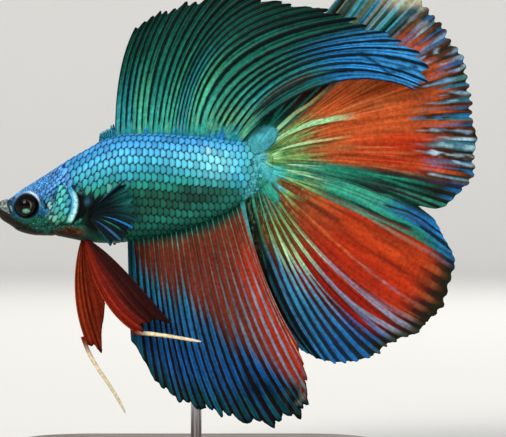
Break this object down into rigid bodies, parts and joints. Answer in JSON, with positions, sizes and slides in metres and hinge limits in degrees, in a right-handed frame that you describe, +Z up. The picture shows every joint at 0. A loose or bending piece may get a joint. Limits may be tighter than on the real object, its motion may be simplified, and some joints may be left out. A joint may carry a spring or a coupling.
{
  "type": "fighting fish model on a stand",
  "caption": "Life-size still model of a male halfmoon fighting fish with spread fins, held above a flat wooden base by one short steel rod.",
  "frame": {"origin": "centre of the stand's underside", "axes": "+Z up, the fish looks towards -X, its left side faces -Y"},
  "size_m": [0.0887, 0.04, 0.0903],
  "materials": {
    "head_skin": "mottled blue to teal small scales, satin",
    "lips": "speckled grey skin, matt",
    "eye": "black, wet gloss",
    "scales": "iridescent turquoise scales, dark teal below",
    "dorsal_fin": "teal rays with dark webs, satin",
    "caudal_fin": "red-orange with green and blue rays, satin",
    "anal_fin": "blue with a dark red rear, satin",
    "pectoral_fin": "dark translucent web with blue rays",
    "pelvic_fin": "dark red with a cream tip, satin",
    "base_wood": "oiled walnut",
    "rod_steel": "brushed"
  },
  "bodies": {
    "root": {"head": "head_skin", "gill_cover_left": "head_skin", "gill_cover_right": "head_skin", "upper_lip": "lips", "lower_jaw": "lips", "eye_left": "eye", "eye_right": "eye", "trunk": "scales", "tail_root": "scales", "dorsal_fin": "dorsal_fin", "caudal_fin": "caudal_fin", "anal_fin": "anal_fin", "pectoral_fin_left": "pectoral_fin", "pectoral_fin_right": "pectoral_fin", "pelvic_fin_left": "pelvic_fin", "pelvic_fin_right": "pelvic_fin", "stand_base": "base_wood", "stand_rod": "rod_steel"}
  },
  "joints": []
}
